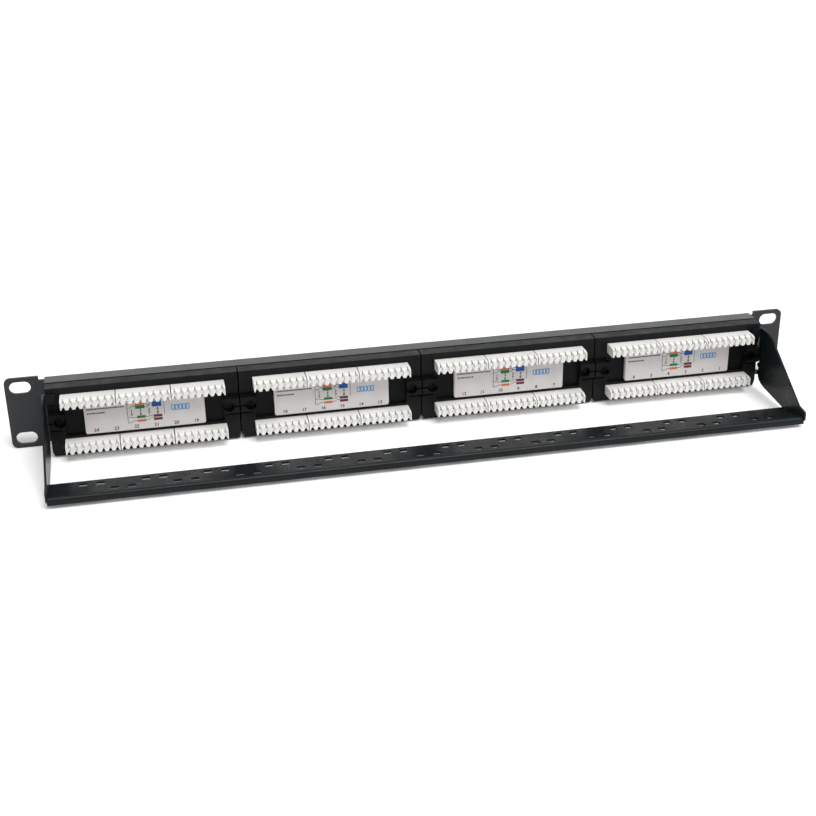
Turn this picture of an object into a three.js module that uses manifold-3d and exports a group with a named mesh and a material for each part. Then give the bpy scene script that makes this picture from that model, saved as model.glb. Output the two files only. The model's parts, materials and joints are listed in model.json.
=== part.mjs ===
// 24-port rack patch panel, 1 unit high, with a rear cable support bar.
// Millimetres, +Z up. The port side faces -Y and the wiring side faces +Y.
// The solids are drawn with y = 0 on the front of the steel panel and z = 0 on the surface it stands on.
// The whole group is then moved so that the origin is at the middle of the footprint.
// Fasteners, the circuit boards and the way the bar hooks on are typical of such panels.

import * as THREE from 'three';
import { mergeVertices } from 'three/addons/utils/BufferGeometryUtils.js';
import Module from 'manifold-3d';

const wasm = await Module();
wasm.setup();

// ---- driving dimensions --------------------------------------------------------------------------

const GAP = 0.3;                     // clearance between neighbouring pieces

// steel panel
const PANEL_WIDTH = 482.6;           // 19 inches over the ears
const PANEL_HEIGHT = 44;             // one rack unit less clearance
const PANEL_SHEET = 1.5;
const CHANNEL_HEIGHT = 42.8;         // over the two folded flanges
const FLANGE_DEPTH = 11;
const FOLD_RADIUS = 1.8;             // outside of the folds between the front and the flanges
const FLANGE_HALF_WIDTH = 218.2;
const EAR_CORNER_RADIUS = 3.5;
const RACK_SLOT_HALF_SPAN = 232.55;  // 465.1 mm between the slot columns
const RACK_SLOT_PITCH = 31.75;
const RACK_SLOT_LENGTH = 12;
const RACK_SLOT_HEIGHT = 7.2;
const RELIEF_WIDTH = 3.6;            // notch between a flange and an ear
const RELIEF_DEPTH = 2.4;

// modules, six ports each
const MODULE_COUNT = 4;
const PORTS_PER_MODULE = 6;
const MODULE_PITCH = 109;
const MODULE_WIDTH = 108.3;
const MODULE_HEIGHT = 42.2;
const COVER_REAR = 19.8;             // main rear face of the plastic cover
const COVER_WALL = 1.8;
const COVER_REAR_WALL = 3.4;
const POCKET_DEPTH = 2;              // recess behind the label, between the terminal rows
const POCKET_HALF_WIDTH = 45.2;
const POCKET_HEIGHT = 18.2;
const BOSS_WIDTH = 9.1;              // screw boss at each end of a cover
const BOSS_SPAN = [18.4, 27.8];      // bottom and top
const BOSS_PROUD = 3.2;
const SCREW_Z = 22.6;                // cover screws and their bosses
const BOSS_GROOVES = [[28.4, 30.3, 1.2], [16.2, 18.4, 1.6]];  // over and under it: bottom, top, depth
const LINK_GROOVE = [1, 1.6];        // groove from a screw pocket to the module's end: height, depth
const CORNER_CUT = [1.1, 3.4];       // bevel at a cover's lower rear corners, across and up

// port side
const PORT_PITCH = 15;
const PORT_Z = 20.4;                 // middle of a plug opening
const JACK_BLOCK_HEIGHT = 18;
const JACK_BLOCK_Z = 19.6;
const JACK_FRONT = -1;               // the jack faces stand 1 mm proud of the steel
const JACK_BACK = 12.5;
const PLUG_WIDTH = 11.9;
const PLUG_HEIGHT = 8.3;
const PLUG_DEPTH = 11;
const LATCH_STEPS = [[6.2, 1.7], [3.4, 1.5]];  // width and height of the two latch steps
const STRIP_LENGTH = 90;             // designation strip over the ports
const STRIP_HEIGHT = 7;
const STRIP_Z = 35.6;
const STRIP_THICKNESS = 0.7;

// circuit board, screws and label
const BOARD_FRONT = 12.8;
const BOARD_THICKNESS = 1.6;
const BOARD_WIDTH = 104;
const BOARD_HEIGHT = 35;
const SCREW_FROM_END = 6.1;
const SCREW_HEAD_RADIUS = 2.5;
const SCREW_HEAD_HEIGHT = 1.3;
const SCREW_RADIUS = 1.3;
const SCREW_TIP = 3.2;
const COUNTERBORE_RADIUS = 3.3;
const COUNTERBORE_DEPTH = 4.4;
const STANDOFF_RADIUS = 2.8;
const LABEL_WIDTH = 68.6;
const LABEL_HEIGHT = 17.6;
const LABEL_REAR = 20.8;

// insulation displacement terminal blocks, one per port
const BLOCKS_PER_ROW = 3;
const BLOCK_PITCH = 31;
const BLOCK_WIDTH = 30.7;
const BLOCK_HEIGHT = 5.9;
const BLOCK_REAR = 29.9;
const BLOCK_ROW_OFFSET = 13.9;       // row middle above or below mid-height
const WIRE_SLOTS = 8;
const WIRE_SLOT_PITCH = 3.86;
const WIRE_SLOT_WIDTH = 0.9;
const WIRE_SLOT_DEPTH = 6;
const WIRE_MOUTH_WIDTH = 2.2;
const WIRE_MOUTH_DEPTH = 2.6;

// cable bar
const BAR_SHEET = 1.2;
const BAR_INNER = 218.3;             // inner face of the side arms
const BAR_FRONT = 59;
const BAR_FRONT_TOP = 2.7;
const BAR_REAR = 83.6;
const BAR_REAR_TOP = 6.6;
const LIP_BOTTOM = 2.2;
const BAR_BEND_RADIUS = 1.8;
const TIE_PAIRS = 24;
const TIE_PAIR_PITCH = 17;
const TIE_SLOT_SPACING = 9.4;
const TIE_SLOT = [4.4, 5];
const TIE_ROWS = [76, 65.6];         // the pairs alternate between these two rows
const HOOK_FRONT = 14.6;             // tongue that hooks into the end cover
const HOOK_HEIGHT = 5;
const HOOK_Z = 37;
const HOOK_FROM_TAB_EDGE = 0.9;
const TAB_WIDTH = 7.2;
const TAB_TOP = 40.2;
const TAB_BOTTOM = 34.2;
const SEAT_BOTTOM = 20.2;            // the arm's front edge meets the cover down to here
const FINGERS = [[16.6, 14.2], [11.4, 9.6]];  // top and bottom of the two fingers under it
const FINGER_REACH = 1.9;            // how far the fingers stand before the arm's front edge

// ---- derived places ------------------------------------------------------------------------------

const MID_Z = PANEL_HEIGHT / 2;
const CHANNEL_BOTTOM = MID_Z - CHANNEL_HEIGHT / 2;
const CHANNEL_TOP = MID_Z + CHANNEL_HEIGHT / 2;
const MODULE_BOTTOM = MID_Z - MODULE_HEIGHT / 2;
const MODULE_TOP = MID_Z + MODULE_HEIGHT / 2;
const MODULE_HALF = MODULE_WIDTH / 2;
const REAR_WALL_FRONT = COVER_REAR - COVER_REAR_WALL;
const BOARD_REAR = BOARD_FRONT + BOARD_THICKNESS;
const SCREW_OFFSET = MODULE_HALF - SCREW_FROM_END;
const ROW_HALF_WIDTH = BLOCK_PITCH + BLOCK_WIDTH / 2;
const BAR_OUTER = BAR_INNER + BAR_SHEET;
const HOOK_INNER = BAR_OUTER - TAB_WIDTH + HOOK_FROM_TAB_EDGE;
const NOSE_REAR = BAR_REAR + 0.4;
const MIDDLE_Y = (JACK_FRONT + NOSE_REAR) / 2;

// ---- materials -----------------------------------------------------------------------------------

function finish(color, roughness, metalness) {
  return new THREE.MeshStandardMaterial({ color, roughness, metalness });
}

const powderCoat = finish(0x24282c, 0.6, 0.3);
const blackPlastic = finish(0x1b1c1e, 0.55, 0);
const whitePlastic = finish(0xe9e7e2, 0.5, 0);
const labelPlastic = finish(0xc9c8c5, 0.5, 0);
const boardGreen = finish(0x1f5a36, 0.5, 0);
const blackSteel = finish(0x2a2b2d, 0.4, 0.8);

// ---- solid helpers -------------------------------------------------------------------------------

function toSolid(geometry) {
  const bare = geometry.clone();
  bare.deleteAttribute('normal');
  bare.deleteAttribute('uv');
  const merged = mergeVertices(bare, 1e-4);
  const vertProperties = new Float32Array(merged.attributes.position.array);
  const triVerts = new Uint32Array(merged.index.array);
  return new wasm.Manifold(new wasm.Mesh({ numProp: 3, vertProperties, triVerts }));
}

function toGeometry(solid) {
  const mesh = solid.getMesh();
  const geometry = new THREE.BufferGeometry();
  geometry.setAttribute('position', new THREE.BufferAttribute(new Float32Array(mesh.vertProperties), 3));
  geometry.setIndex(new THREE.BufferAttribute(new Uint32Array(mesh.triVerts), 1));
  geometry.computeVertexNormals();
  return geometry;
}

function box(x0, x1, y0, y1, z0, z1) {
  const geometry = new THREE.BoxGeometry(x1 - x0, y1 - y0, z1 - z0);
  return toSolid(geometry.translate((x0 + x1) / 2, (y0 + y1) / 2, (z0 + z1) / 2));
}

// the same, with the two x values in either order
function boxBetween(xa, xb, y0, y1, z0, z1) {
  return box(Math.min(xa, xb), Math.max(xa, xb), y0, y1, z0, z1);
}

function extrude(shape, depth, curveSegments) {
  return new THREE.ExtrudeGeometry(shape, { depth, bevelEnabled: false, curveSegments });
}

function shapeOf(points) {
  return new THREE.Shape(points.map(([u, v]) => new THREE.Vector2(u, v)));
}

// outline drawn as (x, z), filled from y0 to y1
function alongY(shape, y0, y1, curveSegments = 4) {
  return toSolid(extrude(shape, y1 - y0, curveSegments).rotateX(Math.PI / 2).translate(0, y1, 0));
}

// outline drawn as (y, z), filled from x0 to x1
function alongXGeometry(shape, x0, x1, curveSegments) {
  const turn = new THREE.Matrix4().set(0, 0, 1, x0, 1, 0, 0, 0, 0, 1, 0, 0, 0, 0, 0, 1);
  return extrude(shape, x1 - x0, curveSegments).applyMatrix4(turn);
}

function alongX(shape, x0, x1, curveSegments = 5) {
  return toSolid(alongXGeometry(shape, x0, x1, curveSegments));
}

// outline drawn as (x, y), filled from z0 to z1
function alongZ(shape, z0, z1, curveSegments = 4) {
  return toSolid(extrude(shape, z1 - z0, curveSegments).translate(0, 0, z0));
}

function roundedRectangle(width, height, radius, cx = 0, cz = 0) {
  const [l, r, b, t] = [cx - width / 2, cx + width / 2, cz - height / 2, cz + height / 2];
  const shape = new THREE.Shape();
  shape.moveTo(l + radius, b);
  shape.lineTo(r - radius, b);
  shape.absarc(r - radius, b + radius, radius, -Math.PI / 2, 0, false);
  shape.lineTo(r, t - radius);
  shape.absarc(r - radius, t - radius, radius, 0, Math.PI / 2, false);
  shape.lineTo(l + radius, t);
  shape.absarc(l + radius, t - radius, radius, Math.PI / 2, Math.PI, false);
  shape.lineTo(l, b + radius);
  shape.absarc(l + radius, b + radius, radius, Math.PI, 1.5 * Math.PI, false);
  return shape;
}

function rod(radius, x, z, y0, y1, sides = 12) {
  const geometry = new THREE.CylinderGeometry(radius, radius, y1 - y0, sides);
  return toSolid(geometry.translate(x, (y0 + y1) / 2, z));
}

const joined = (solids) => solids.reduce((whole, next) => whole.add(next));
const range = (count) => Array.from({ length: count }, (_, index) => index);
const moduleCentre = (index) => (index - (MODULE_COUNT - 1) / 2) * MODULE_PITCH;
const moduleScrewXs = (index) => [-1, 1].map((side) => moduleCentre(index) + side * SCREW_OFFSET);

// ---- steel panel ---------------------------------------------------------------------------------

// a flange folded back from the sheet; the lower one is the upper one turned over
function flange(lower) {
  const profile = new THREE.Shape();
  profile.moveTo(PANEL_SHEET, CHANNEL_TOP - FOLD_RADIUS - GAP);
  profile.lineTo(0, CHANNEL_TOP - FOLD_RADIUS - GAP);
  profile.absarc(FOLD_RADIUS, CHANNEL_TOP - FOLD_RADIUS, FOLD_RADIUS, Math.PI, Math.PI / 2, true);
  profile.lineTo(FLANGE_DEPTH, CHANNEL_TOP);
  profile.lineTo(FLANGE_DEPTH, CHANNEL_TOP - PANEL_SHEET);
  profile.lineTo(FOLD_RADIUS, CHANNEL_TOP - PANEL_SHEET);
  const geometry = alongXGeometry(profile, -FLANGE_HALF_WIDTH, FLANGE_HALF_WIDTH, 6);
  return toSolid(lower ? geometry.rotateY(Math.PI).translate(0, 0, PANEL_HEIGHT) : geometry);
}

function frontPanel() {
  const outline = roundedRectangle(PANEL_WIDTH, PANEL_HEIGHT, EAR_CORNER_RADIUS, 0, MID_Z);
  let panel = alongY(outline, 0, PANEL_SHEET);
  // between the ears the sheet runs into its folded flanges
  const trim = FLANGE_HALF_WIDTH;
  panel = panel.subtract(box(-trim, trim, -1, PANEL_SHEET + 1, CHANNEL_TOP - FOLD_RADIUS, PANEL_HEIGHT + 1));
  panel = panel.subtract(box(-trim, trim, -1, PANEL_SHEET + 1, -1, CHANNEL_BOTTOM + FOLD_RADIUS));
  panel = joined([panel, flange(false), flange(true)]);
  for (const side of [-1, 1]) {
    const [x0, x1] = [side * FLANGE_HALF_WIDTH, side * (FLANGE_HALF_WIDTH + RELIEF_WIDTH)];
    for (const [z0, z1] of [[PANEL_HEIGHT - RELIEF_DEPTH, PANEL_HEIGHT + 1], [-1, RELIEF_DEPTH]]) {
      panel = panel.subtract(boxBetween(x0, x1, -1, PANEL_SHEET + 1, z0, z1));
    }
    for (const row of [-0.5, 0.5]) {
      const [x, z] = [side * RACK_SLOT_HALF_SPAN, MID_Z + row * RACK_SLOT_PITCH];
      const slot = roundedRectangle(RACK_SLOT_LENGTH, RACK_SLOT_HEIGHT, RACK_SLOT_HEIGHT / 2 - 0.01, x, z);
      panel = panel.subtract(alongY(slot, -1, PANEL_SHEET + 1, 5));
    }
  }
  for (const index of range(MODULE_COUNT)) {
    const [width, height] = [PORTS_PER_MODULE * PORT_PITCH + 2 * GAP, JACK_BLOCK_HEIGHT + 2 * GAP];
    const window = roundedRectangle(width, height, 0.3, moduleCentre(index), JACK_BLOCK_Z);
    panel = panel.subtract(alongY(window, -1, PANEL_SHEET + 1, 1));
    for (const x of moduleScrewXs(index)) {
      panel = panel.add(rod(STANDOFF_RADIUS, x, SCREW_Z, PANEL_SHEET / 2, BOARD_FRONT - GAP));
      panel = panel.subtract(rod(SCREW_RADIUS + GAP, x, SCREW_Z, SCREW_TIP - GAP, BOARD_FRONT + 1));
    }
  }
  return panel;
}

// ---- jack block: six plug openings in one moulding ---------------------------------------------------

function plugOpening(x) {
  const points = [[-PLUG_WIDTH / 2, PLUG_HEIGHT / 2]];
  let z = -PLUG_HEIGHT / 2;
  points.push([-PLUG_WIDTH / 2, z]);
  const right = [[PLUG_WIDTH / 2, PLUG_HEIGHT / 2], [PLUG_WIDTH / 2, z]];
  for (const [width, height] of LATCH_STEPS) {
    points.push([-width / 2, z], [-width / 2, z - height]);
    right.push([width / 2, z], [width / 2, z - height]);
    z -= height;
  }
  const outline = [...points, ...right.reverse()].map(([u, v]) => [x + u, PORT_Z + v]);
  return alongY(shapeOf(outline), JACK_FRONT - 1, JACK_FRONT + PLUG_DEPTH);
}

function jackBlock(index) {
  const centre = moduleCentre(index);
  const half = (PORTS_PER_MODULE * PORT_PITCH) / 2;
  const [z0, z1] = [JACK_BLOCK_Z - JACK_BLOCK_HEIGHT / 2, JACK_BLOCK_Z + JACK_BLOCK_HEIGHT / 2];
  const body = box(centre - half, centre + half, JACK_FRONT, JACK_BACK, z0, z1);
  return range(PORTS_PER_MODULE).reduce(
    (solid, port) => solid.subtract(plugOpening(centre - half + (port + 0.5) * PORT_PITCH)), body);
}

// ---- circuit board ---------------------------------------------------------------------------------

function circuitBoard(index) {
  const centre = moduleCentre(index);
  const [half, tall] = [BOARD_WIDTH / 2, BOARD_HEIGHT / 2];
  const board = box(centre - half, centre + half, BOARD_FRONT, BOARD_REAR, MID_Z - tall, MID_Z + tall);
  const hole = (x) => rod(SCREW_RADIUS + 2 * GAP, x, SCREW_Z, BOARD_FRONT - 1, BOARD_REAR + 1);
  return moduleScrewXs(index).reduce((solid, x) => solid.subtract(hole(x)), board);
}

// ---- plastic rear cover ----------------------------------------------------------------------------

function hookSlot(side) {
  const [x0, x1] = [side * (HOOK_INNER - GAP), side * (HOOK_INNER + BAR_SHEET + GAP)];
  const [z0, z1] = [HOOK_Z - HOOK_HEIGHT / 2 - GAP, HOOK_Z + HOOK_HEIGHT / 2 + GAP];
  return boxBetween(x0, x1, BOARD_REAR, COVER_REAR + 1, z0, z1);
}

function moduleCover(index) {
  const centre = moduleCentre(index);
  const half = MODULE_HALF;
  const [across, up] = CORNER_CUT;
  const rearOutline = shapeOf([
    [centre - half, MODULE_BOTTOM + up], [centre - half + across, MODULE_BOTTOM],
    [centre + half - across, MODULE_BOTTOM], [centre + half, MODULE_BOTTOM + up],
    [centre + half, MODULE_TOP], [centre - half, MODULE_TOP],
  ]);
  const frontMargin = PANEL_SHEET + GAP;
  let cover = alongY(rearOutline, FLANGE_DEPTH + GAP, COVER_REAR);
  cover = cover.add(box(centre - half, centre + half, PANEL_SHEET + GAP, COVER_REAR - 1,
    CHANNEL_BOTTOM + frontMargin, CHANNEL_TOP - frontMargin));
  cover = cover.subtract(box(centre - half + COVER_WALL, centre + half - COVER_WALL, 0, REAR_WALL_FRONT,
    CHANNEL_BOTTOM + frontMargin + COVER_WALL, CHANNEL_TOP - frontMargin - COVER_WALL));
  const pocketX = POCKET_HALF_WIDTH;
  cover = cover.subtract(box(centre - pocketX, centre + pocketX, COVER_REAR - POCKET_DEPTH, COVER_REAR + 1,
    MID_Z - POCKET_HEIGHT / 2, MID_Z + POCKET_HEIGHT / 2));
  for (const row of [-1, 1]) {
    const z = MID_Z + row * BLOCK_ROW_OFFSET;
    const [rx, rz] = [ROW_HALF_WIDTH + GAP, BLOCK_HEIGHT / 2 + GAP];
    cover = cover.subtract(box(centre - rx, centre + rx, 0, COVER_REAR + 1, z - rz, z + rz));
  }
  for (const side of [-1, 1]) {
    const outer = centre + side * half;
    const inner = outer - side * BOSS_WIDTH;
    const x = centre + side * SCREW_OFFSET;
    for (const [grooveBottom, grooveTop, grooveDepth] of BOSS_GROOVES) {
      cover = cover.subtract(boxBetween(centre + side * (ROW_HALF_WIDTH + 2 * GAP), outer + side,
        COVER_REAR - grooveDepth, COVER_REAR + 1, grooveBottom, grooveTop));
    }
    cover = cover.add(boxBetween(inner, outer, COVER_REAR - 1, COVER_REAR + BOSS_PROUD, ...BOSS_SPAN));
    cover = cover.add(rod(STANDOFF_RADIUS, x, SCREW_Z, BOARD_REAR + GAP, REAR_WALL_FRONT + 1));
    cover = cover.subtract(rod(SCREW_RADIUS + GAP, x, SCREW_Z, 0, COVER_REAR + BOSS_PROUD + 1));
    const face = COVER_REAR + BOSS_PROUD;
    cover = cover.subtract(rod(COUNTERBORE_RADIUS, x, SCREW_Z, face - COUNTERBORE_DEPTH, face + 1));
    const [linkHeight, linkDepth] = LINK_GROOVE;
    cover = cover.subtract(boxBetween(x, outer + side, face - linkDepth, face + 1,
      SCREW_Z - linkHeight / 2, SCREW_Z + linkHeight / 2));
  }
  if (index === 0) cover = cover.subtract(hookSlot(-1));
  if (index === MODULE_COUNT - 1) cover = cover.subtract(hookSlot(1));
  return cover;
}

function coverScrew(x) {
  const seat = COVER_REAR + BOSS_PROUD - COUNTERBORE_DEPTH + GAP;
  const head = rod(SCREW_HEAD_RADIUS, x, SCREW_Z, seat, seat + SCREW_HEAD_HEIGHT, 14);
  const socket = [0, Math.PI / 2].map((turn) => {
    const blade = new THREE.BoxGeometry(3.2, 1.4, 0.7).rotateY(turn);
    return toSolid(blade.translate(x, seat + SCREW_HEAD_HEIGHT, SCREW_Z));
  });
  return head.add(rod(SCREW_RADIUS, x, SCREW_Z, SCREW_TIP, seat + 0.5, 10)).subtract(joined(socket));
}

// ---- terminal block: eight wire slots, widened at the mouth --------------------------------------------

function terminalBlock(moduleIndex, row, place) {
  const left = moduleCentre(moduleIndex) + (place - 1) * BLOCK_PITCH - BLOCK_WIDTH / 2;
  const points = [[left, BLOCK_REAR], [left, BOARD_REAR + GAP]];
  points.push([left + BLOCK_WIDTH, BOARD_REAR + GAP], [left + BLOCK_WIDTH, BLOCK_REAR]);
  for (const slot of range(WIRE_SLOTS).reverse()) {
    const x = left + BLOCK_WIDTH / 2 + (slot - (WIRE_SLOTS - 1) / 2) * WIRE_SLOT_PITCH;
    const [mouth, throat] = [WIRE_MOUTH_WIDTH / 2, WIRE_SLOT_WIDTH / 2];
    points.push([x + mouth, BLOCK_REAR], [x + throat, BLOCK_REAR - WIRE_MOUTH_DEPTH]);
    points.push([x + throat, BLOCK_REAR - WIRE_SLOT_DEPTH], [x - throat, BLOCK_REAR - WIRE_SLOT_DEPTH]);
    points.push([x - throat, BLOCK_REAR - WIRE_MOUTH_DEPTH], [x - mouth, BLOCK_REAR]);
  }
  const z = MID_Z + row * BLOCK_ROW_OFFSET;
  return alongZ(shapeOf(points), z - BLOCK_HEIGHT / 2, z + BLOCK_HEIGHT / 2);
}

// ---- cable bar: slotted plate, rear lip and two side arms folded from one sheet -------------------------

function barPlate() {
  const slope = (BAR_REAR_TOP - BAR_FRONT_TOP) / (BAR_REAR - BAR_FRONT);
  const radius = BAR_BEND_RADIUS;
  const arcY = BAR_REAR - radius;
  const arcZ = BAR_REAR_TOP - radius - slope * radius;
  const profile = new THREE.Shape();
  profile.moveTo(BAR_FRONT, BAR_FRONT_TOP - BAR_SHEET);
  profile.lineTo(BAR_REAR - BAR_SHEET, arcZ + radius - BAR_SHEET);
  profile.lineTo(BAR_REAR - BAR_SHEET, LIP_BOTTOM);
  profile.lineTo(BAR_REAR, LIP_BOTTOM);
  profile.lineTo(BAR_REAR, arcZ);
  profile.absarc(arcY, arcZ, radius, 0, Math.PI / 2 + Math.atan(slope), false);
  profile.lineTo(BAR_FRONT, BAR_FRONT_TOP);
  return alongX(profile, -BAR_INNER - 0.5, BAR_INNER + 0.5);
}

function sideArm(side) {
  const profile = new THREE.Shape();
  const front = COVER_REAR + GAP;
  const edge = front + FINGER_REACH;
  profile.moveTo(front, TAB_TOP);
  profile.lineTo(front, SEAT_BOTTOM);
  profile.lineTo(edge, SEAT_BOTTOM);
  for (const [top, bottom] of FINGERS) {
    profile.lineTo(edge, top);
    profile.lineTo(front, top);
    profile.lineTo(front, bottom);
    profile.lineTo(edge, bottom);
  }
  profile.quadraticCurveTo(edge + 0.6, 4.4, edge + 14, 3.6);
  profile.lineTo(BAR_FRONT, BAR_FRONT_TOP - BAR_SHEET);
  profile.lineTo(BAR_REAR - 2.4, LIP_BOTTOM + 0.4);
  profile.lineTo(NOSE_REAR, 4.6);
  profile.lineTo(NOSE_REAR, 8.2);
  profile.quadraticCurveTo(NOSE_REAR, 10, NOSE_REAR - 1.8, 10);
  profile.lineTo(NOSE_REAR - 8, 10.8);
  profile.lineTo(42, 33.6);
  profile.quadraticCurveTo(34.5, 39.6, 27, TAB_TOP);
  const [x0, x1] = side > 0 ? [BAR_INNER, BAR_OUTER] : [-BAR_OUTER, -BAR_INNER];
  const arm = alongX(profile, x0, x1);
  const tab = boxBetween(side * BAR_OUTER, side * (BAR_OUTER - TAB_WIDTH), front, front + BAR_SHEET,
    TAB_BOTTOM, TAB_TOP);
  const hook = boxBetween(side * HOOK_INNER, side * (HOOK_INNER + BAR_SHEET), HOOK_FRONT + GAP, front + 0.5,
    HOOK_Z - HOOK_HEIGHT / 2, HOOK_Z + HOOK_HEIGHT / 2);
  return joined([arm, tab, hook]);
}

function cableBar() {
  let bar = joined([barPlate(), sideArm(-1), sideArm(1)]);
  const [length, width] = TIE_SLOT;
  for (const pair of range(TIE_PAIRS)) {
    const middle = (pair - (TIE_PAIRS - 1) / 2) * TIE_PAIR_PITCH;
    const y = TIE_ROWS[pair % 2];
    for (const side of [-0.5, 0.5]) {
      const x = middle + side * TIE_SLOT_SPACING;
      const [x0, x1] = [x - length / 2, x + length / 2];
      bar = bar.subtract(box(x0, x1, y - width / 2, y + width / 2, -1, BAR_REAR_TOP + 1));
    }
  }
  return bar;
}

// ---- front designation strip and rear label --------------------------------------------------------------

function designationStrip(index) {
  const outline = roundedRectangle(STRIP_LENGTH, STRIP_HEIGHT, 0.8, moduleCentre(index), STRIP_Z);
  return alongY(outline, -GAP - STRIP_THICKNESS, -GAP, 2);
}

function labelPlate(index) {
  const outline = roundedRectangle(LABEL_WIDTH, LABEL_HEIGHT, 1.2, moduleCentre(index), MID_Z);
  return alongY(outline, COVER_REAR - POCKET_DEPTH + GAP, LABEL_REAR, 3);
}

// ---- assembly ----------------------------------------------------------------------------------------

const group = new THREE.Group();
group.position.set(0, -MIDDLE_Y, 0);

function place(name, solid, material) {
  const mesh = new THREE.Mesh(toGeometry(solid), material);
  mesh.name = name;
  group.add(mesh);
}

place('front_panel', frontPanel(), powderCoat);
for (const index of range(MODULE_COUNT)) {
  const number = index + 1;
  place(`module_cover_${number}`, moduleCover(index), blackPlastic);
  place(`circuit_board_${number}`, circuitBoard(index), boardGreen);
  place(`jack_block_${number}`, jackBlock(index), blackPlastic);
  place(`label_plate_${number}`, labelPlate(index), labelPlastic);
  place(`designation_strip_${number}`, designationStrip(index), whitePlastic);
  moduleScrewXs(index).forEach((x, side) => {
    place(`cover_screw_${2 * index + side + 1}`, coverScrew(x), blackSteel);
  });
  for (const row of [1, -1]) {
    for (const spot of range(BLOCKS_PER_ROW)) {
      const port = index * PORTS_PER_MODULE + (row > 0 ? 0 : BLOCKS_PER_ROW) + spot + 1;
      place(`terminal_block_${port}`, terminalBlock(index, row, spot), whitePlastic);
    }
  }
}
place('cable_bar', cableBar(), powderCoat);

export default group;
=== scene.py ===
import json
import math
import random

import bmesh
import bpy
from mathutils import Matrix, Vector


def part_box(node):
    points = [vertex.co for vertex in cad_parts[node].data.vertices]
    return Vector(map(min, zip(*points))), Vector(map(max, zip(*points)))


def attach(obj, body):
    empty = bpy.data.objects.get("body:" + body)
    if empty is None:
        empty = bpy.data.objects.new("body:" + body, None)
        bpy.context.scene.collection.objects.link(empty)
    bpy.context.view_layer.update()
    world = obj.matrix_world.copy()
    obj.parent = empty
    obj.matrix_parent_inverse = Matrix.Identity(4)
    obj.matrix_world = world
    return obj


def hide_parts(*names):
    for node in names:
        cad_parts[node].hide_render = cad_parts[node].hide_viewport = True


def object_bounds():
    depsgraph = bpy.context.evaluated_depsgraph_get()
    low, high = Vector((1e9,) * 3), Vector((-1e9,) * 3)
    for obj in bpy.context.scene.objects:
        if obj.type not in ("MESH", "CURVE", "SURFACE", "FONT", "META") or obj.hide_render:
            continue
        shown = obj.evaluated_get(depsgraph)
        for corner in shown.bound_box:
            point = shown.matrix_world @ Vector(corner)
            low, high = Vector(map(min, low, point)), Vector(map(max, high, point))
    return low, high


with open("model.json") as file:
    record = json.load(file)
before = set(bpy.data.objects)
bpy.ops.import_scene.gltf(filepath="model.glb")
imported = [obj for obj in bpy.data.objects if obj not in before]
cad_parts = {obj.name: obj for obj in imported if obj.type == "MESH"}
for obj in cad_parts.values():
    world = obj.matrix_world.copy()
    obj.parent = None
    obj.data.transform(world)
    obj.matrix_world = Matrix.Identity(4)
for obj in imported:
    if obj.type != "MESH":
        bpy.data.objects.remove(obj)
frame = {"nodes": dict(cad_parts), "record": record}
cad_low, cad_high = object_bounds()

# ---- measures, in millimetres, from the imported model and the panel's driving sizes ---------------

MM = 0.001
PANEL_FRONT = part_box("front_panel")[0].y / MM      # front face of the steel sheet
MODULE_COUNT = 4
PORTS_PER_MODULE = 6
PANEL = "panel"
BAR = "cable_bar"


def centre_of(node):
    low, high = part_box(node)
    return (low + high) / (2 * MM)


MODULE_X = [centre_of(f"module_cover_{n}").x for n in range(1, MODULE_COUNT + 1)]


# ---- materials -----------------------------------------------------------------------------------

class Shader:
    """A small node-tree builder around one Principled shader."""

    def __init__(self, name, color, roughness, metallic=0.0, specular=0.5):
        self.material = bpy.data.materials.new(name)
        self.material.use_nodes = True
        self.nodes = self.material.node_tree.nodes
        self.links = self.material.node_tree.links
        self.surface = self.nodes["Principled BSDF"]
        self.surface.inputs["Base Color"].default_value = (*color, 1)
        self.surface.inputs["Roughness"].default_value = roughness
        self.surface.inputs["Metallic"].default_value = metallic
        self.surface.inputs["Specular IOR Level"].default_value = specular
        self.place = self.nodes.new("ShaderNodeTexCoord").outputs["Object"]

    def noise(self, scale, detail=2.0, roughness=0.5, stretch=None):
        node = self.nodes.new("ShaderNodeTexNoise")
        node.inputs["Scale"].default_value = scale
        node.inputs["Detail"].default_value = detail
        node.inputs["Roughness"].default_value = roughness
        source = self.place
        if stretch:
            mapping = self.nodes.new("ShaderNodeMapping")
            mapping.inputs["Scale"].default_value = stretch
            self.links.new(source, mapping.inputs["Vector"])
            source = mapping.outputs["Vector"]
        self.links.new(source, node.inputs["Vector"])
        return node.outputs["Fac"]

    def spread(self, factor, low, high):
        """Maps the middle of a noise factor to the range low..high."""
        node = self.nodes.new("ShaderNodeMapRange")
        node.inputs["From Min"].default_value = 0.3
        node.inputs["From Max"].default_value = 0.7
        node.inputs["To Min"].default_value = low
        node.inputs["To Max"].default_value = high
        self.links.new(factor, node.inputs["Value"])
        return node.outputs["Result"]

    def tint(self, factor, first, second):
        """Drifts the base colour between two shades."""
        node = self.nodes.new("ShaderNodeValToRGB")
        node.color_ramp.elements[0].position = 0.35
        node.color_ramp.elements[0].color = (*first, 1)
        node.color_ramp.elements[1].position = 0.65
        node.color_ramp.elements[1].color = (*second, 1)
        self.links.new(factor, node.inputs["Fac"])
        self.links.new(node.outputs["Color"], self.surface.inputs["Base Color"])

    def rough(self, factor, low, high):
        self.links.new(self.spread(factor, low, high), self.surface.inputs["Roughness"])

    def bump(self, height, distance, strength=1.0):
        node = self.nodes.new("ShaderNodeBump")
        node.inputs["Distance"].default_value = distance
        node.inputs["Strength"].default_value = strength
        self.links.new(height, node.inputs["Height"])
        previous = self.surface.inputs["Normal"]
        if previous.is_linked:
            self.links.new(previous.links[0].from_socket, node.inputs["Normal"])
        self.links.new(node.outputs["Normal"], previous)


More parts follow.
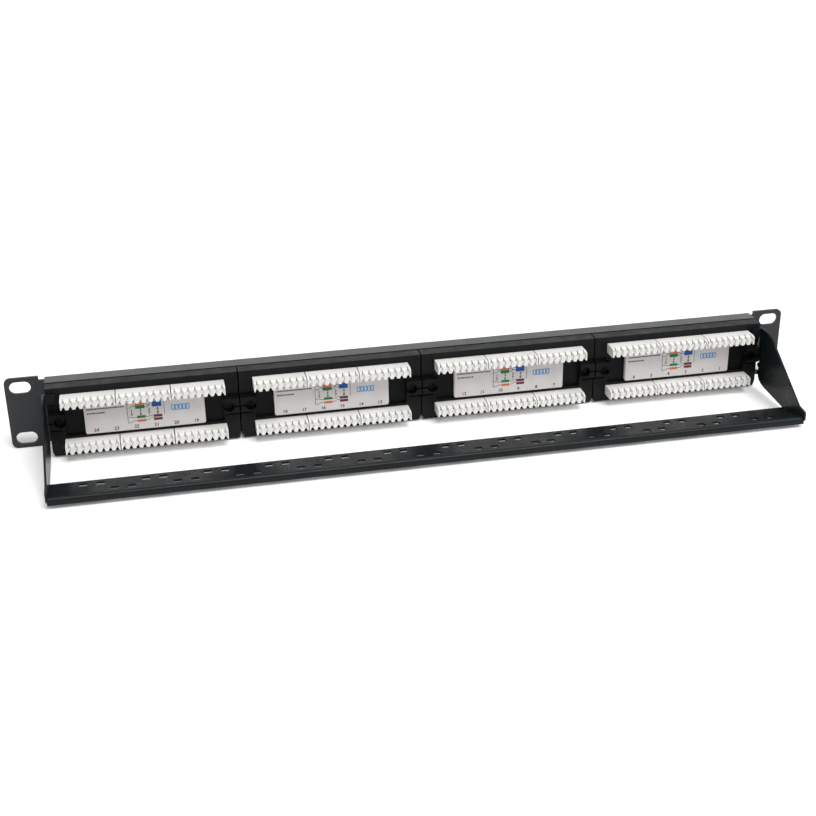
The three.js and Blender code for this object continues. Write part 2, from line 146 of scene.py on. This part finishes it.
def powder_coat(name, first, second, specular):
    """Fine orange-peel of a baked powder coat, with faint clouding."""
    shader = Shader(name, first, 0.3, specular=specular)
    cloud = shader.noise(35, 3)
    shader.tint(cloud, first, second)
    shader.rough(shader.noise(120, 3), 0.26, 0.36)
    shader.bump(shader.noise(1400, 2), 0.00008, 0.5)
    return shader.material


def moulded_black(name, first, second, low=0.4, high=0.55, specular=0.3):
    """Spark-eroded texture of moulded black plastic, with slight flow marks."""
    shader = Shader(name, first, 0.5, specular=specular)
    flow = shader.noise(22, 4, 0.6, stretch=(1, 1, 2.5))
    shader.tint(flow, first, second)
    shader.rough(shader.noise(180, 2), low, high)
    shader.bump(shader.noise(2600, 2), 0.00004, 0.5)
    return shader.material


def moulded_white(name, first, second):
    shader = Shader(name, first, 0.42, specular=0.45)
    shader.tint(shader.noise(60, 3), first, second)
    shader.rough(shader.noise(300, 2), 0.34, 0.5)
    shader.bump(shader.noise(1800, 2), 0.00003, 0.4)
    shader.surface.inputs["Subsurface Weight"].default_value = 0.06
    shader.surface.inputs["Subsurface Radius"].default_value = (0.002, 0.0018, 0.0015)
    shader.surface.inputs["Subsurface Scale"].default_value = 0.5
    return shader.material


def metal(name, first, second, low, high):
    shader = Shader(name, first, 0.3, metallic=1.0)
    shader.tint(shader.noise(400, 3), first, second)
    shader.rough(shader.noise(900, 2), low, high)
    return shader.material


def ink(name, first, second):
    """Printed ink: matt, slightly uneven in density."""
    shader = Shader(name, first, 0.6, specular=0.3)
    shader.tint(shader.noise(900, 3), first, second)
    shader.rough(shader.noise(500, 2), 0.5, 0.68)
    return shader.material


MATERIALS = {
    "powder_coat": powder_coat("powder_coat", (0.008, 0.0105, 0.0125), (0.0115, 0.0145, 0.017), 0.4),
    "black_plastic": moulded_black("black_plastic", (0.0036, 0.004, 0.0043), (0.0056, 0.006, 0.0064),
                                   specular=0.15),
    "jack_plastic": moulded_black("jack_plastic", (0.009, 0.009, 0.0095), (0.013, 0.013, 0.0135)),
    "circuit_board": moulded_black("circuit_board", (0.010, 0.075, 0.030), (0.014, 0.100, 0.040),
                                   low=0.25, high=0.4, specular=0.5),
    "label_plate": moulded_white("label_plate", (0.60, 0.585, 0.575), (0.66, 0.645, 0.635)),
    "white_plastic": moulded_white("white_plastic", (0.80, 0.79, 0.76), (0.84, 0.83, 0.80)),
    "terminal_plastic": moulded_white("terminal_plastic", (0.70, 0.69, 0.67), (0.76, 0.75, 0.73)),
    "black_screw": metal("black_screw", (0.018, 0.018, 0.02), (0.03, 0.03, 0.033), 0.24, 0.36),
}
# the cable bar's coat is a darker copy of the panel's powder coat, with a lower specular; its darker base
# colour is painted shade standing in for the dark housing the bar reflects
SHADED_BAR_COAT = powder_coat("powder_coat_bar_painted_shade", (0.005, 0.007, 0.0085), (0.008, 0.0105, 0.012), 0.16)
LABEL_SHEET = moulded_white("label_sheet", (0.62, 0.595, 0.585), (0.67, 0.645, 0.635))
GOLD = metal("gold_contact", (0.95, 0.68, 0.27), (0.85, 0.58, 0.20), 0.16, 0.28)
TIN = metal("tinned_contact", (0.62, 0.62, 0.60), (0.52, 0.52, 0.50), 0.25, 0.4)
INK_BLACK = ink("ink_black", (0.008, 0.008, 0.01), (0.016, 0.016, 0.018))
INK_BLUE = ink("ink_blue", (0.010, 0.075, 0.30), (0.016, 0.10, 0.38))
INK_SKY = ink("ink_sky", (0.04, 0.26, 0.56), (0.06, 0.32, 0.64))
INK_ORANGE = ink("ink_orange", (0.56, 0.13, 0.045), (0.64, 0.18, 0.07))
INK_GREEN = ink("ink_green", (0.022, 0.15, 0.05), (0.035, 0.20, 0.075))
INK_BROWN = ink("ink_brown", (0.12, 0.022, 0.025), (0.16, 0.035, 0.038))


# ---- mesh helpers --------------------------------------------------------------------------------

MERGE_DISTANCE = 0.01 * MM
SHARP_ANGLE = math.radians(35)     # edges sharper than this are rounded
FLAT_ANGLE = math.radians(1)       # facets flatter than this are joined


def piece(name, mesh, body, at):
    """A finished visual piece, riding on its body."""
    thing = bpy.data.objects.new(name, mesh)
    bpy.context.scene.collection.objects.link(thing)
    thing.location = Vector(at) * MM
    bpy.context.view_layer.update()
    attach(thing, body)
    return thing


def mesh_from(builder, name):
    """Runs builder(bm) in millimetres and returns a mesh in metres with outward faces."""
    bm = bmesh.new()
    builder(bm)
    bmesh.ops.recalc_face_normals(bm, faces=bm.faces)
    bmesh.ops.scale(bm, vec=(MM, MM, MM), verts=bm.verts)
    mesh = bpy.data.meshes.new(name)
    bm.to_mesh(mesh)
    bm.free()
    return mesh


def add_box(bm, low, high):
    """A closed box between two corners, in millimetres."""
    xs, ys, zs = zip(low, high)
    verts = [bm.verts.new((x, y, z)) for x in xs for y in ys for z in zs]
    for face in ((0, 1, 3, 2), (4, 6, 7, 5), (0, 4, 5, 1), (2, 3, 7, 6), (0, 2, 6, 4), (1, 5, 7, 3)):
        bm.faces.new([verts[k] for k in face])
    return verts


def add_prism(bm, outline, axis, start, end):
    """Fills an outline from start to end along an axis.

    The outline is (x, y) points for Z, (x, z) for Y and (y, z) for X.
    """
    def ring(along):
        points = {"X": [(along, u, v) for u, v in outline],
                  "Y": [(u, along, v) for u, v in outline],
                  "Z": [(u, v, along) for u, v in outline]}[axis]
        return [bm.verts.new(point) for point in points]

    near, far = ring(start), ring(end)
    bm.faces.new(near)
    bm.faces.new(far)
    count = len(outline)
    for k in range(count):
        bm.faces.new((near[k], near[(k + 1) % count], far[(k + 1) % count], far[k]))


def rounded(width, height, radius, cx=0.0, cz=0.0, steps=5):
    """Points of a rounded rectangle."""
    points = []
    for k, (sx, sz) in enumerate(((1, 1), (-1, 1), (-1, -1), (1, -1))):
        for step in range(steps + 1):
            angle = math.pi / 2 * (k + step / steps)
            points.append((cx + sx * (width / 2 - radius) + radius * math.cos(angle),
                           cz + sz * (height / 2 - radius) + radius * math.sin(angle)))
    return points


def cut(mesh, cutter):
    """mesh with the cutter mesh taken away, as a new mesh."""
    body = bpy.data.objects.new("cut_body", mesh)
    tool = bpy.data.objects.new("cut_tool", cutter)
    for thing in (body, tool):
        bpy.context.scene.collection.objects.link(thing)
    modifier = body.modifiers.new("cut", "BOOLEAN")
    modifier.operation = "DIFFERENCE"
    modifier.solver = "EXACT"
    modifier.object = tool
    result = applied(body)
    bpy.data.objects.remove(tool)
    return result


def applied(thing):
    """The object's mesh with its modifiers applied; the object itself goes."""
    bpy.context.view_layer.update()
    evaluated = thing.evaluated_get(bpy.context.evaluated_depsgraph_get())
    mesh = bpy.data.meshes.new_from_object(evaluated)
    bpy.data.objects.remove(thing)
    return mesh


def softened(mesh, width):
    """mesh with every sharp edge broken by a narrow bevel."""
    thing = bpy.data.objects.new("soften", mesh)
    bpy.context.scene.collection.objects.link(thing)
    merge = thing.modifiers.new("merge", "WELD")
    merge.merge_threshold = MERGE_DISTANCE
    bevel = thing.modifiers.new("edge", "BEVEL")
    bevel.width = width * MM
    bevel.segments = 1
    bevel.limit_method = "ANGLE"
    bevel.angle_limit = SHARP_ANGLE
    bevel.use_clamp_overlap = True
    bevel.harden_normals = False
    mesh = applied(thing)
    for polygon in mesh.polygons:
        polygon.use_smooth = False
    return mesh


# ---- CAD nodes that stay: their own material and rounded edges -----------------------------------

EDGE_ROUNDING = {"front_panel": 0.25, "cable_bar": 0.25, "module_cover": 0.3, "jack_block": 0.2,
                 "circuit_board": 0.1, "label_plate": 0.25, "designation_strip": 0.15,
                 "cover_screw": 0.15}
SLOT_OF = {entry["node"]: entry["material_slot"] for entry in frame["record"]["subparts"]}


def dress_cad_nodes():
    for name, node in frame["nodes"].items():
        if name.startswith("terminal_block"):
            continue
        node.data.materials.clear()
        # the cable bar takes the darker copy of the powder coat, whose darker base colour is painted
        # shade
        node.data.materials.append(SHADED_BAR_COAT if name == BAR else MATERIALS[SLOT_OF[name]])
        kind = name.rstrip("0123456789").rstrip("_")
        merge = node.modifiers.new("merge", "WELD")
        merge.merge_threshold = MERGE_DISTANCE
        flat = node.modifiers.new("flat", "DECIMATE")
        flat.decimate_type = "DISSOLVE"
        flat.angle_limit = FLAT_ANGLE
        bevel = node.modifiers.new("edge", "BEVEL")
        bevel.width = EDGE_ROUNDING[kind] * MM
        bevel.segments = 2
        bevel.limit_method = "ANGLE"
        bevel.angle_limit = SHARP_ANGLE


# ---- terminal blocks: white comb with eight wire slots and tinned contacts -----------------------

BLOCK_LOW, BLOCK_HIGH = (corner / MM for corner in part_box("terminal_block_1"))
BLOCK_WIDTH = BLOCK_HIGH.x - BLOCK_LOW.x
BLOCK_DEPTH = BLOCK_HIGH.y - BLOCK_LOW.y
BLOCK_HALF_HEIGHT = (BLOCK_HIGH.z - BLOCK_LOW.z) / 2
WIRE_SLOTS = 8
SLOT_PITCH = 3.86
BLOCK_SEAM = 0.12          # each comb stops this much short of its solid's ends
COMB_ROUNDING = 0.12
SLIT_WIDTH = 0.75
WEB = (-0.75, 0.7)         # bottom and top of the wall between the two halves of a slot
WEB_RECESS = 0.9
TIP_CHAMFER = (2.6, 0.9)   # along the top of the comb: back from the tips, and down
# each slot: width at the tips, depth of its taper, depth of the whole slot
UPPER_MOUTH = (2.2, 1.7, 4.2)
LOWER_SLIT = (0.75, 0.6, 6.0)
ARCH = (0.5, 1.25, 4.2)    # under each slot: half-width at the web and at the foot, depth
PAST_TIPS = 0.3            # cutters reach this far past the tips
BLADE_SPAN = (0.06, 0.26)  # contact blades: across, on either side of a slot's middle
BLADE_DEPTH = (-5.8, -4.4)
BLADE_FOOT = -2.3


def slot_xs():
    return [(k - (WIRE_SLOTS - 1) / 2) * SLOT_PITCH for k in range(WIRE_SLOTS)]


def slot_outline(x, mouth, taper, depth):
    """One wire slot from above, open at the tips (y = 0)."""
    half, slit = mouth / 2, SLIT_WIDTH / 2
    flare = half + (half - slit) * PAST_TIPS / taper
    return [(x - flare, PAST_TIPS), (x - slit, -taper), (x - slit, -depth),
            (x + slit, -depth), (x + slit, -taper), (x + flare, PAST_TIPS)]


def terminal_mesh():
    half = BLOCK_WIDTH / 2 - BLOCK_SEAM
    tall = BLOCK_HALF_HEIGHT
    back, down = TIP_CHAMFER

    def comb(bm):
        profile = [(-BLOCK_DEPTH, -tall), (-back, -tall), (0, -tall + down / 2),
                   (0, tall - down), (-back, tall), (-BLOCK_DEPTH, tall)]
        add_prism(bm, profile, "X", -half, half)

    def slots(bm):
        for x in slot_xs():
            add_prism(bm, slot_outline(x, *UPPER_MOUTH), "Z", WEB[1], tall + 1)
            add_prism(bm, slot_outline(x, *LOWER_SLIT), "Z", -tall - 1, WEB[0])

    def notches(bm):
        for x in slot_xs():
            wide = UPPER_MOUTH[0] / 2
            add_box(bm, (x - wide, -WEB_RECESS, WEB[0] - 0.1), (x + wide, PAST_TIPS, WEB[1] + 0.1))

    def arches(bm):
        crown, foot, depth = ARCH
        for x in slot_xs():
            side = [(foot + 0.2, -tall - 1), (foot, -tall),
                    (0.8 * foot, -tall + 0.9), (crown, WEB[0] - 0.15)]
            outline = [(x + u, z) for u, z in side] + [(x - u, z) for u, z in reversed(side)]
            add_prism(bm, outline, "Y", -depth, PAST_TIPS)

    mesh = cut(mesh_from(comb, "comb"), mesh_from(slots, "slots"))
    mesh = cut(mesh, mesh_from(arches, "arches"))
    mesh = cut(mesh, mesh_from(notches, "notches"))
    mesh = softened(mesh, COMB_ROUNDING)
    mesh.name = "terminal_comb"
    mesh.materials.clear()
    mesh.materials.append(MATERIALS["terminal_plastic"])
    return mesh


def contact_mesh():
    """The forked contact blades of one block, seen edge on inside the lower halves of the slots."""
    def blades(bm):
        for x in slot_xs():
            for side in (-1, 1):
                left, right = sorted(x + side * reach for reach in BLADE_SPAN)
                add_box(bm, (left, BLADE_DEPTH[0], BLADE_FOOT), (right, BLADE_DEPTH[1], WEB[0] - 0.05))
    mesh = mesh_from(blades, "terminal_contacts")
    mesh.materials.append(TIN)
    return mesh


def build_terminals():
    comb, blades = terminal_mesh(), contact_mesh()
    for port in range(1, MODULE_COUNT * PORTS_PER_MODULE + 1):
        node = f"terminal_block_{port}"
        centre = centre_of(node)
        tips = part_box(node)[1].y / MM
        at = (centre.x, tips, centre.z)
        block = piece(f"terminal_comb_{port}", comb, PANEL, at=at)
        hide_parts(node)
        piece(f"terminal_contacts_{port}", blades, PANEL, at=at)


# ---- rear labels: printed sheet, wiring colours and port numbers ---------------------------------

# all label places are in millimetres from the label's middle, x to the reader's right and y up
LABEL_WIDTH, LABEL_HEIGHT = 68.6, 17.6
SHEET_MARGIN = 0.25
SHEET_CORNER = 1.1
SHEET_THICKNESS = 0.12
INK_THICKNESS = 0.03
CHART_PATCHES = {   # colour patches as left, bottom, right, top
    "orange": (INK_ORANGE, [(-5.4, 6.5, 0.0, 8.2), (-4.8, -4.1, 0.2, -2.6)]),
    "green": (INK_GREEN, [(-5.4, 4.3, 0.0, 6.4), (-4.8, -1.7, 0.2, -0.1)]),
    "blue": (INK_BLUE, [(4.2, 4.7, 9.6, 8.2)]),
    "brown": (INK_BROWN, [(4.6, -3.9, 9.6, -2.3), (4.6, -1.9, 9.6, -0.3)]),
}
CHART_LINE_WIDTH = 0.26
CHART_LINES = [
    [(-10.0, 8.0), (-10.0, -4.4)], [(11.0, 7.6), (11.0, -0.6)],
    [(-10.0, 7.6), (-8.0, 7.6), (-6.8, 6.8), (-5.4, 6.8)],
    [(-10.0, 5.2), (-8.2, 5.2), (-7.0, 5.9), (-5.4, 5.9)],
    [(-10.0, -0.7), (-8.0, -0.7), (-6.6, -1.2), (-4.8, -1.2)],
    [(-10.0, -4.2), (-8.0, -4.0), (-6.6, -3.2), (-4.8, -3.2)],
    [(0.0, 6.8), (1.4, 6.8), (2.6, 5.9), (4.2, 5.9)],
    [(0.0, 5.2), (1.6, 5.2), (2.8, 7.4), (4.2, 7.4)],
    [(0.2, -3.2), (1.8, -3.2), (3.0, -2.2), (4.6, -2.2)],
    [(0.2, -1.2), (1.8, -1.2), (3.0, -0.6), (4.6, -0.6)],
    [(-7.6, 2.6), (-7.6, 1.8)], [(-2.5, 2.6), (-2.5, 1.8)],
    [(2.3, 2.6), (2.3, 1.8)], [(7.2, 2.6), (7.2, 1.8)],
]
PIN_NUMBER_SIZE, PIN_NUMBER_BOLDER = 2.5, 0.05
PIN_NUMBER_SPOTS = [(x, y) for y in (3.4, 0.9) for x in (-7.6, -2.5, 2.3, 7.2)]
SMALL_PRINT_ROWS = [(-32.6, -11.6, 6.5), (-32.4, -22.6, 3.9)]   # left, right and height of each row
SMALL_PRINT_HALF_HEIGHT = 0.42
BLUE_FRAMES, BLUE_FRAME_PITCH, BLUE_LINE_WIDTH = 5, 2.1, 0.5
BLUE_FRAME = (15.3, 1.5, 16.8, 4.6)                             # the first frame
REAR_NUMBER_SIZE, REAR_NUMBER_BOLDER = 2.8, 0.06
REAR_NUMBER_PITCH, REAR_NUMBER_SHIFT, REAR_NUMBER_HEIGHT = 11.4, 0.3, -6.7


def text_mesh(words, size, place, bolder=0.0):
    """Printed digits centred on a place in millimetres. bolder widens the strokes by that much a side."""
    curve = bpy.data.curves.new("digits", "FONT")
    curve.body = words
    curve.size = size * MM
    curve.align_x = "CENTER"
    curve.align_y = "CENTER"
    curve.extrude = INK_THICKNESS / 2 * MM
    curve.offset = bolder * MM
    curve.resolution_u = 3
    thing = bpy.data.objects.new("digits", curve)
    bpy.context.scene.collection.objects.link(thing)
    mesh = applied(thing)
    mesh.transform(Matrix.Translation((place[0] * MM, place[1] * MM, 0)))
    return mesh


def print_on(name, printed, material, at):
    """A layer of ink or paper on a label plate; printed is a mesh, or a builder of one.

    It is drawn with x to the reader's right, y up and z out of the label.
    """
    mesh = mesh_from(printed, name) if callable(printed) else printed
    turn = Matrix.Rotation(math.pi, 4, "Z") @ Matrix.Rotation(math.pi / 2, 4, "X")
    mesh.transform(turn)
    mesh.materials.clear()
    mesh.materials.append(material)
    return piece(name, mesh, PANEL, at)


def bars(rows):
    """Builder of flat rectangles (left, bottom, right, top)."""
    def build(bm):
        for left, bottom, right, top in rows:
            add_box(bm, (left, bottom, 0), (right, top, INK_THICKNESS))
    return build


def strokes(paths, width):
    """Builder of thin printed lines along polylines."""
    def build(bm):
        for path in paths:
            for (x0, y0), (x1, y1) in zip(path, path[1:]):
                length = math.hypot(x1 - x0, y1 - y0)
                nx, ny = -(y1 - y0) / length * width / 2, (x1 - x0) / length * width / 2
                outline = [(x0 + nx, y0 + ny), (x0 - nx, y0 - ny), (x1 - nx, y1 - ny), (x1 + nx, y1 + ny)]
                add_prism(bm, outline, "Z", 0, INK_THICKNESS)
    return build


def build_label(number):
    plate = f"label_plate_{number}"
    centre = centre_of(plate)
    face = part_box(plate)[1].y / MM
    at = (centre.x, face, centre.z)
    ink_at = (centre.x, face + SHEET_THICKNESS, centre.z)
    outline = rounded(LABEL_WIDTH - 2 * SHEET_MARGIN, LABEL_HEIGHT - 2 * SHEET_MARGIN, SHEET_CORNER)

    def sheet(bm):
        add_prism(bm, outline, "Z", 0, SHEET_THICKNESS)

    print_on(f"label_sheet_{number}", sheet, LABEL_SHEET, at)

    # the wiring chart: groups of colour patches joined by thin lines, with pin numbers between them
    for colour, (ink_material, patches) in CHART_PATCHES.items():
        print_on(f"chart_{colour}_{number}", bars(patches), ink_material, ink_at)
    print_on(f"chart_lines_{number}", strokes(CHART_LINES, CHART_LINE_WIDTH), INK_BLACK, ink_at)
    for k, spot in enumerate(PIN_NUMBER_SPOTS):
        digit = text_mesh(str(k + 1), PIN_NUMBER_SIZE, spot, PIN_NUMBER_BOLDER)
        print_on(f"pin_number_{number}_{k + 1}", digit, INK_BLACK, ink_at)

    # rows of short dashes stand in for the small print, and a row of frames for the blue wording
    chance = random.Random(number)
    small = []
    for left, right, y in SMALL_PRINT_ROWS:
        x = left
        while x < right:
            width = chance.uniform(0.5, 0.95)
            small.append((x, y - SMALL_PRINT_HALF_HEIGHT, x + width, y + SMALL_PRINT_HALF_HEIGHT))
            x += width + chance.uniform(0.22, 0.4)
    print_on(f"small_print_{number}", bars(small), INK_BLACK, ink_at)
    frames = []
    for k in range(BLUE_FRAMES):
        left, bottom, right, top = BLUE_FRAME
        left, right = left + BLUE_FRAME_PITCH * k, right + BLUE_FRAME_PITCH * k
        frames.append([(left, bottom), (left, top), (right, top), (right, bottom), (left, bottom)])
    print_on(f"blue_mark_{number}", strokes(frames, BLUE_LINE_WIDTH), INK_SKY, ink_at)

    # port numbers, read from behind
    first = number * PORTS_PER_MODULE
    for k in range(PORTS_PER_MODULE):
        x = (k - (PORTS_PER_MODULE - 1) / 2) * REAR_NUMBER_PITCH + REAR_NUMBER_SHIFT
        digits = text_mesh(str(first - k), REAR_NUMBER_SIZE, (x, REAR_NUMBER_HEIGHT), REAR_NUMBER_BOLDER)
        print_on(f"rear_number_{first - k}", digits, INK_BLACK, ink_at)


# ---- port side: socket contacts and numbers ------------------------------------------------------

PORT_PITCH = 15
PORT_Z = 20.4
CONTACT_PITCH = 1.02
CONTACT_WIDTH = 0.36
CONTACT_HALF_THICKNESS = 0.16
CONTACTS_PER_PORT = 8
# (y, z) of a contact wire, from the port's middle at the panel's front
CONTACT_PATH = [(1.4, 4.05), (1.1, 3.75), (1.3, 3.4), (9.2, 0.5), (9.9, 0.4)]
PORT_NUMBER_SIZE = 4.2
PORT_NUMBER_SUNK = 0.005    # the digits' middle lies this far inside the strip's face


def socket_contacts():
    """Eight sprung gold wires sloping down into one socket."""
    def wires(bm):
        for k in range(CONTACTS_PER_PORT):
            x = (k - (CONTACTS_PER_PORT - 1) / 2) * CONTACT_PITCH
            upper = [(y, z + CONTACT_HALF_THICKNESS) for y, z in CONTACT_PATH]
            lower = [(y, z - CONTACT_HALF_THICKNESS) for y, z in reversed(CONTACT_PATH)]
            add_prism(bm, upper + lower, "X", x - CONTACT_WIDTH / 2, x + CONTACT_WIDTH / 2)
    mesh = mesh_from(wires, "socket_contacts")
    mesh.materials.append(GOLD)
    return mesh


def build_ports():
    contacts = socket_contacts()
    strip_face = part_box("designation_strip_1")[0].y / MM
    strip_z = centre_of("designation_strip_1").z
    port = 0
    for centre in MODULE_X:
        for k in range(PORTS_PER_MODULE):
            port += 1
            x = centre + (k - (PORTS_PER_MODULE - 1) / 2) * PORT_PITCH
            piece(f"socket_contacts_{port}", contacts, PANEL, at=(x, PANEL_FRONT, PORT_Z))
            mesh = text_mesh(str(port), PORT_NUMBER_SIZE, (0, 0))
            mesh.transform(Matrix.Rotation(math.pi / 2, 4, "X"))
            mesh.materials.clear()
            mesh.materials.append(INK_BLACK)
            number_at = (x, strip_face + PORT_NUMBER_SUNK, strip_z)
            piece(f"port_number_{port}", mesh, PANEL, at=number_at)


# ---- floor, light and camera ---------------------------------------------------------------------

# metres, watts and degrees in this section
FLOOR_HALF_SIZE = 12
FLOOR_DROP = 0.0002        # the floor lies this far under the panel
FLOOR_GLOW = 0.12          # the table is lit softly from below, which thins the shadows
WORLD_STRENGTH = 0.5
SUN_STRENGTH, SUN_SPREAD = 2.3, 34
SUN_TURN = (-26, -10)      # about X, then Y
BACK_SOFTBOX = ((0.0, -1.7, 0.9), 2.6, 16)     # place, side and power
SIDE_SOFTBOX = ((-1.3, 0.9, 1.1), 1.0, 8)


def build_stage():
    mesh = bpy.data.meshes.new("floor")
    size = FLOOR_HALF_SIZE
    corners = [(-size, -size, 0), (size, -size, 0), (size, size, 0), (-size, size, 0)]
    mesh.from_pydata(corners, [], [(0, 1, 2, 3)])
    floor = bpy.data.objects.new("floor", mesh)
    floor.location = (0, 0, cad_low.z - FLOOR_DROP)
    bpy.context.scene.collection.objects.link(floor)
    shader = Shader("floor", (0.93, 0.93, 0.93), 0.8, specular=0.1)
    shader.rough(shader.noise(3, 2), 0.75, 0.85)
    shader.surface.inputs["Emission Color"].default_value = (1, 1, 1, 1)
    shader.surface.inputs["Emission Strength"].default_value = FLOOR_GLOW
    mesh.materials.append(shader.material)

    world = bpy.data.worlds.new("studio")
    bpy.context.scene.world = world
    world.use_nodes = True
    background = world.node_tree.nodes["Background"]
    background.inputs["Color"].default_value = (1, 1, 1, 1)
    background.inputs["Strength"].default_value = WORLD_STRENGTH

    overhead = bpy.data.lights.new("overhead", "SUN")
    overhead.energy = SUN_STRENGTH
    overhead.angle = math.radians(SUN_SPREAD)
    lamp = bpy.data.objects.new("overhead", overhead)
    lamp.rotation_euler = (math.radians(SUN_TURN[0]), math.radians(SUN_TURN[1]), 0)
    bpy.context.scene.collection.objects.link(lamp)
    softbox("back_softbox", *BACK_SOFTBOX, glossy_only=True)
    softbox("side_softbox", *SIDE_SOFTBOX)


def softbox(name, place, size, power, glossy_only=False):
    """A square area light that faces the panel; glossy_only keeps it to reflections."""
    light = bpy.data.lights.new(name, "AREA")
    light.energy = power
    light.size = size
    lamp = bpy.data.objects.new(name, light)
    lamp.location = place
    lamp.rotation_euler = (-Vector(place)).to_track_quat("-Z", "Y").to_euler()
    lamp.visible_camera = False
    lamp.visible_diffuse = not glossy_only
    bpy.context.scene.collection.objects.link(lamp)


CAMERA_AT = (155.9, 723.7, 333.4)       # millimetres from the panel's front, at the middle of its foot
CAMERA_AZIMUTH = -11.84                 # degrees round from straight behind, towards port 24
CAMERA_ELEVATION = 24.27
CAMERA_ROLL = -0.80
CAMERA_LENS = 57.6
CAMERA_SENSOR = 36


def build_camera():
    azimuth, elevation = math.radians(CAMERA_AZIMUTH), math.radians(CAMERA_ELEVATION)
    ahead = Vector((math.sin(azimuth) * math.cos(elevation), -math.cos(azimuth) * math.cos(elevation),
                    -math.sin(elevation)))
    right = ahead.cross(Vector((0, 0, 1))).normalized()
    up = right.cross(ahead)
    roll = math.radians(CAMERA_ROLL)
    side = right * math.cos(roll) + up * math.sin(roll)
    top = up * math.cos(roll) - right * math.sin(roll)
    data = bpy.data.cameras.new("camera")
    data.lens = CAMERA_LENS
    data.sensor_width = CAMERA_SENSOR
    camera = bpy.data.objects.new("camera", data)
    bpy.context.scene.collection.objects.link(camera)
    turn = Matrix((side, top, -ahead)).transposed().to_4x4()
    place = Vector((CAMERA_AT[0], CAMERA_AT[1] + PANEL_FRONT, CAMERA_AT[2])) * MM
    camera.matrix_world = Matrix.Translation(place) @ turn
    bpy.context.scene.camera = camera


# ---- build ---------------------------------------------------------------------------------------

build_camera()
build_stage()
dress_cad_nodes()
build_terminals()
for number in range(1, MODULE_COUNT + 1):
    build_label(number)
build_ports()

bpy.context.scene.view_settings.view_transform = "Standard"
